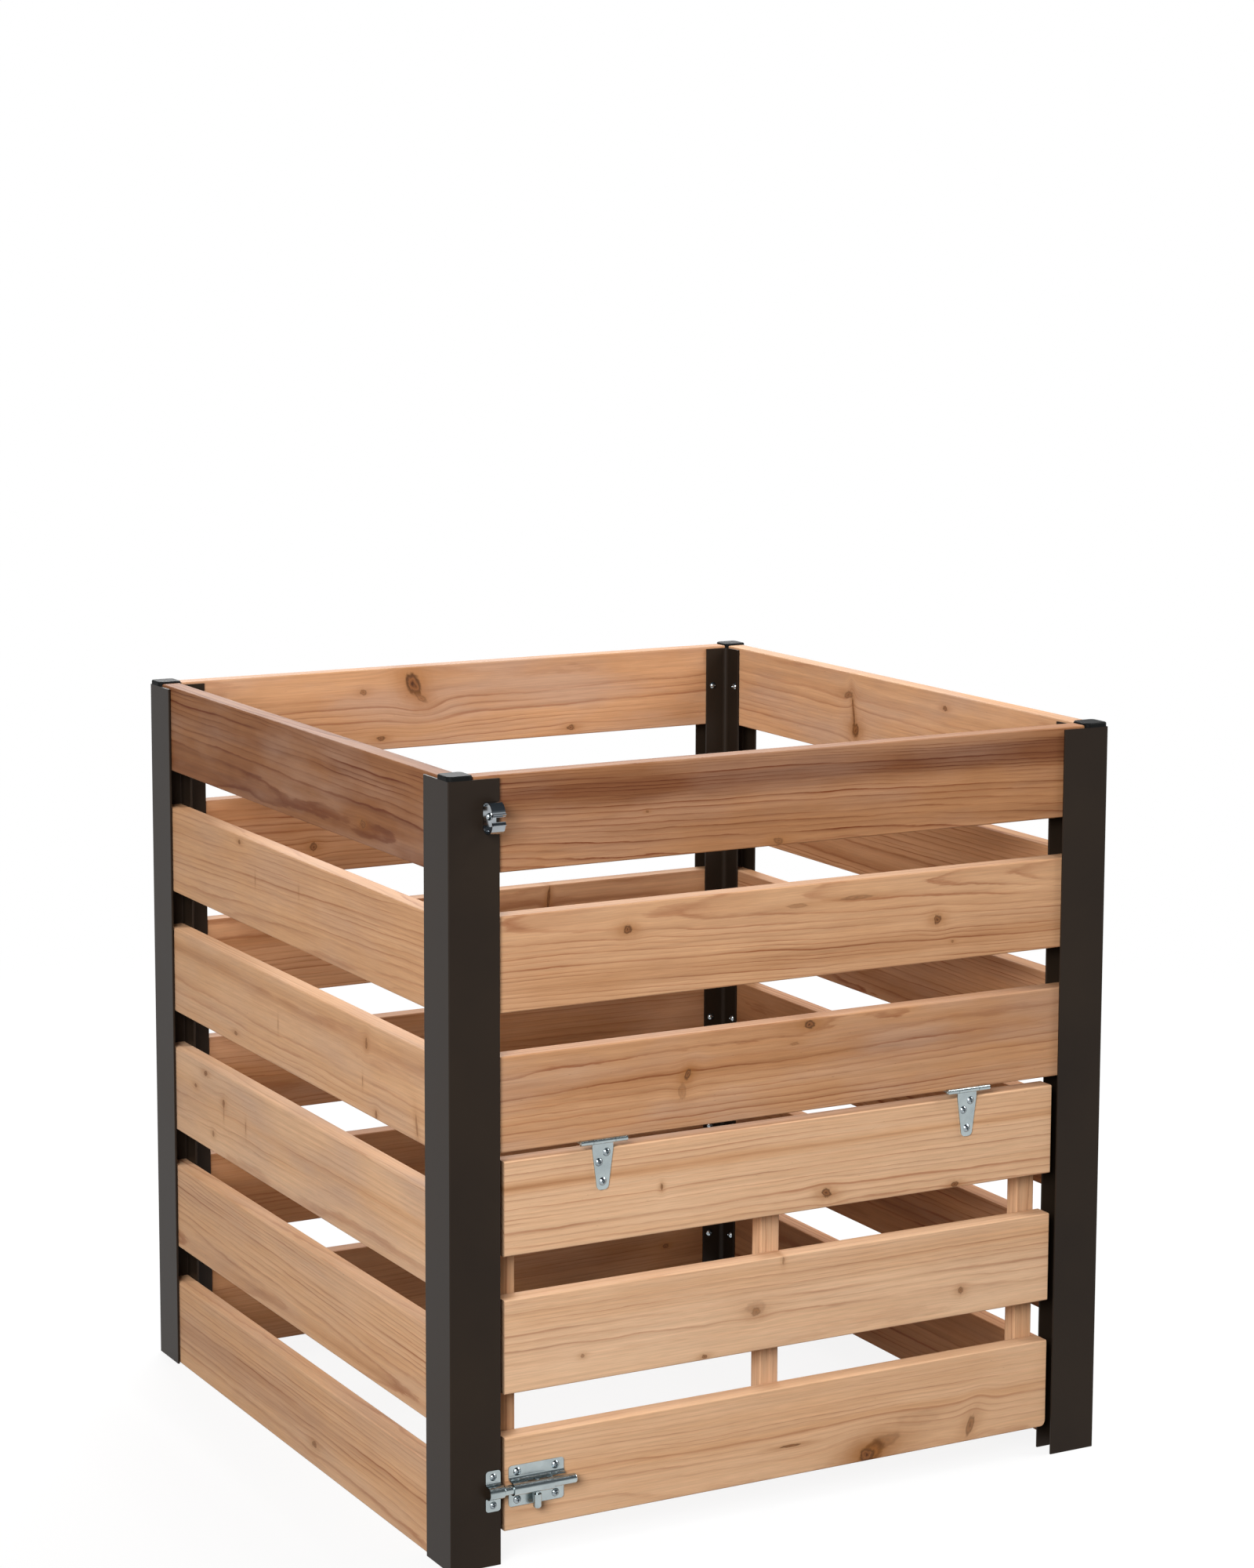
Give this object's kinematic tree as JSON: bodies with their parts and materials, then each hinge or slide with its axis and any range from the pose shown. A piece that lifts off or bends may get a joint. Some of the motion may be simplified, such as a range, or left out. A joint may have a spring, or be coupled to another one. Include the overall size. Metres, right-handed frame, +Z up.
{
  "type": "compost bin",
  "caption": "Open square compost bin of slatted cedar in dark aluminium corner posts, with a bolted flap door at the foot of its front.",
  "frame": {"origin": "on the ground, at the middle of the footprint's box (posts, and the clip that stands out in front)", "axes": "+X to the right as seen from the door's side, +Y to the rear, +Z up"},
  "size_m": [0.717, 0.7384, 0.7355],
  "materials": {
    "cedar": "planed, oiled cedar",
    "post_coating": "satin dark bronze powder coat on aluminium",
    "cap_plastic": "moulded black",
    "hardware_zinc": "bright zinc plate",
    "screw_zinc": "bright zinc plate",
    "clip_nickel": "nickel-plated spring steel"
  },
  "bodies": {
    "frame": {"bolt_keeper": "hardware_zinc", "cap_front_left": "cap_plastic", "cap_front_right": "cap_plastic", "cap_rear_left": "cap_plastic", "cap_rear_right": "cap_plastic", "clip_screw": "screw_zinc", "front_board_1": "cedar", "front_board_2": "cedar", "front_board_3": "cedar", "hinge_leaf_screws": "screw_zinc", "hinge_left_fixed_leaf": "hardware_zinc", "hinge_left_pin": "hardware_zinc", "hinge_right_fixed_leaf": "hardware_zinc", "hinge_right_pin": "hardware_zinc", "hold_open_clip": "clip_nickel", "keeper_screws": "screw_zinc", "left_board_1": "cedar", "left_board_2": "cedar", "left_board_3": "cedar", "left_board_4": "cedar", "left_board_5": "cedar", "left_board_6": "cedar", "post_front_left": "post_coating", "post_front_right": "post_coating", "post_rear_left": "post_coating", "post_rear_right": "post_coating", "post_screws": "screw_zinc", "rear_board_1": "cedar", "rear_board_2": "cedar", "rear_board_3": "cedar", "rear_board_4": "cedar", "rear_board_5": "cedar", "rear_board_6": "cedar", "right_board_1": "cedar", "right_board_2": "cedar", "right_board_3": "cedar", "right_board_4": "cedar", "right_board_5": "cedar", "right_board_6": "cedar"},
    "door": {"batten_screws": "screw_zinc", "bolt_plate": "hardware_zinc", "bolt_plate_screws": "screw_zinc", "door_batten_left": "cedar", "door_batten_middle": "cedar", "door_batten_right": "cedar", "door_board_1": "cedar", "door_board_2": "cedar", "door_board_3": "cedar", "hinge_left_strap": "hardware_zinc", "hinge_right_strap": "hardware_zinc", "hinge_strap_screws": "screw_zinc"},
    "bolt": {"bolt_rod": "hardware_zinc", "bolt_knob": "hardware_zinc"}
  },
  "joints": [
    {"name": "door_swing", "type": "hinge", "parent": "frame", "child": "door", "pos_m": [0, -0.34745, 0.3861], "axis": [-1, 0, 0], "range_deg": [0, 176.83]},
    {"name": "bolt_slide", "type": "slide", "parent": "door", "child": "bolt", "axis": [-1, 0, 0], "range_m": [-0.0089, 0.0076]}
  ]
}
